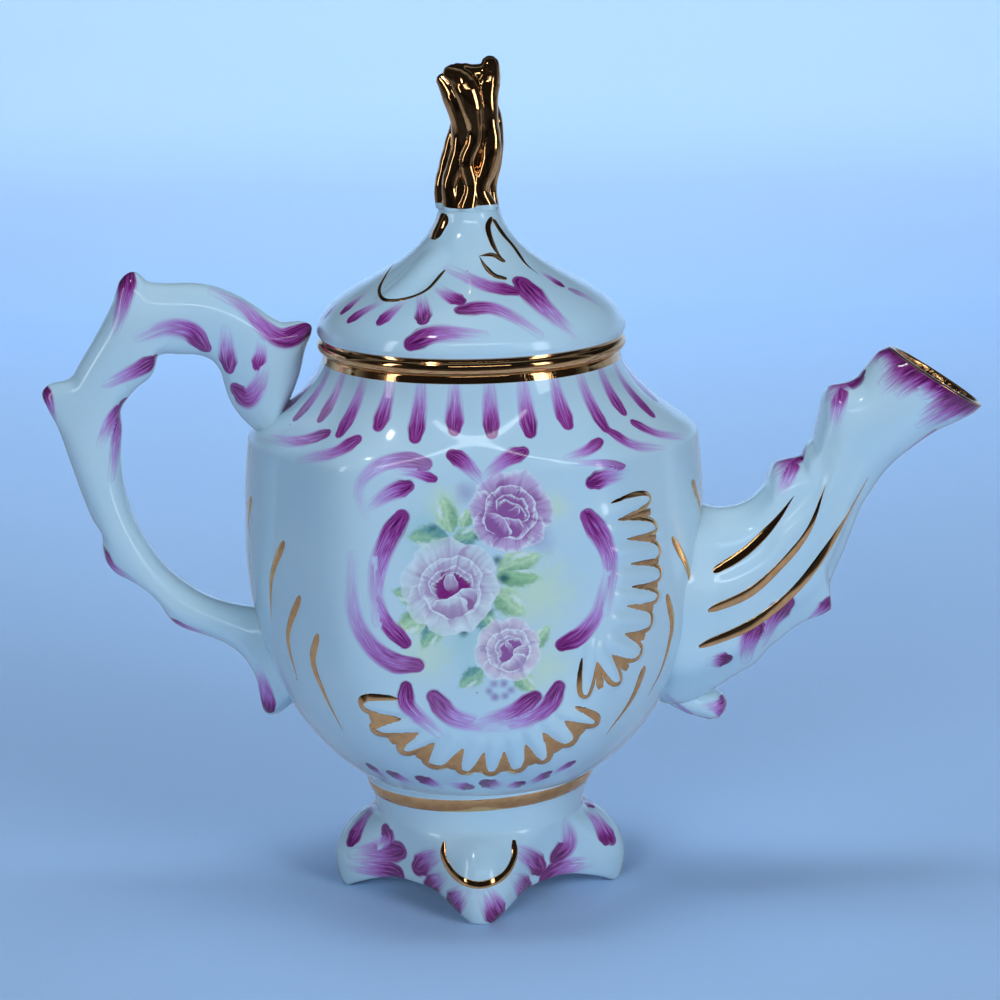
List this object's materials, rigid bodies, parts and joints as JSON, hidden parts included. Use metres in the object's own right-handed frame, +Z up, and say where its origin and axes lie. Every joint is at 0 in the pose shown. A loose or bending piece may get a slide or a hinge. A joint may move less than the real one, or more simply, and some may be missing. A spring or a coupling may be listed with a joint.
{
  "type": "miniature teapot",
  "caption": "Small decorative porcelain teapot: faceted hollow body on a lobed foot, fluted spout, scrolled handle and a lift-off lid with a twig finial.",
  "frame": {"origin": "centre of the bounding box, on the table plane under the foot's toes", "axes": "+X toward the spout, +Y to the back as seen with the spout on the right, +Z up"},
  "size_m": [0.133, 0.0532, 0.12],
  "materials": {
    "body_porcelain": "clear glaze over white porcelain, brushed magenta strokes, a painted rose spray and gilded mouldings",
    "foot_porcelain": "clear glaze over white porcelain, magenta brush marks, gilded band",
    "spout_porcelain": "clear glaze over white porcelain, gilded flutes and lip, magenta leaf ends",
    "handle_porcelain": "clear glaze over white porcelain, magenta leaf ends",
    "lid_porcelain": "clear glaze over white porcelain, magenta strokes, gilded rim and outlines",
    "gilding": "bright fired gold over glazed porcelain"
  },
  "bodies": {
    "pot": {"body_shell": "body_porcelain", "pedestal_foot": "foot_porcelain", "spout": "spout_porcelain", "handle": "handle_porcelain"},
    "lid": {"lid_cover": "lid_porcelain", "lid_finial": "gilding"}
  },
  "joints": [
    {"name": "lid_lift", "type": "slide", "parent": "pot", "child": "lid", "axis": [0, 0, 1], "range_m": [0, 0.045]}
  ]
}
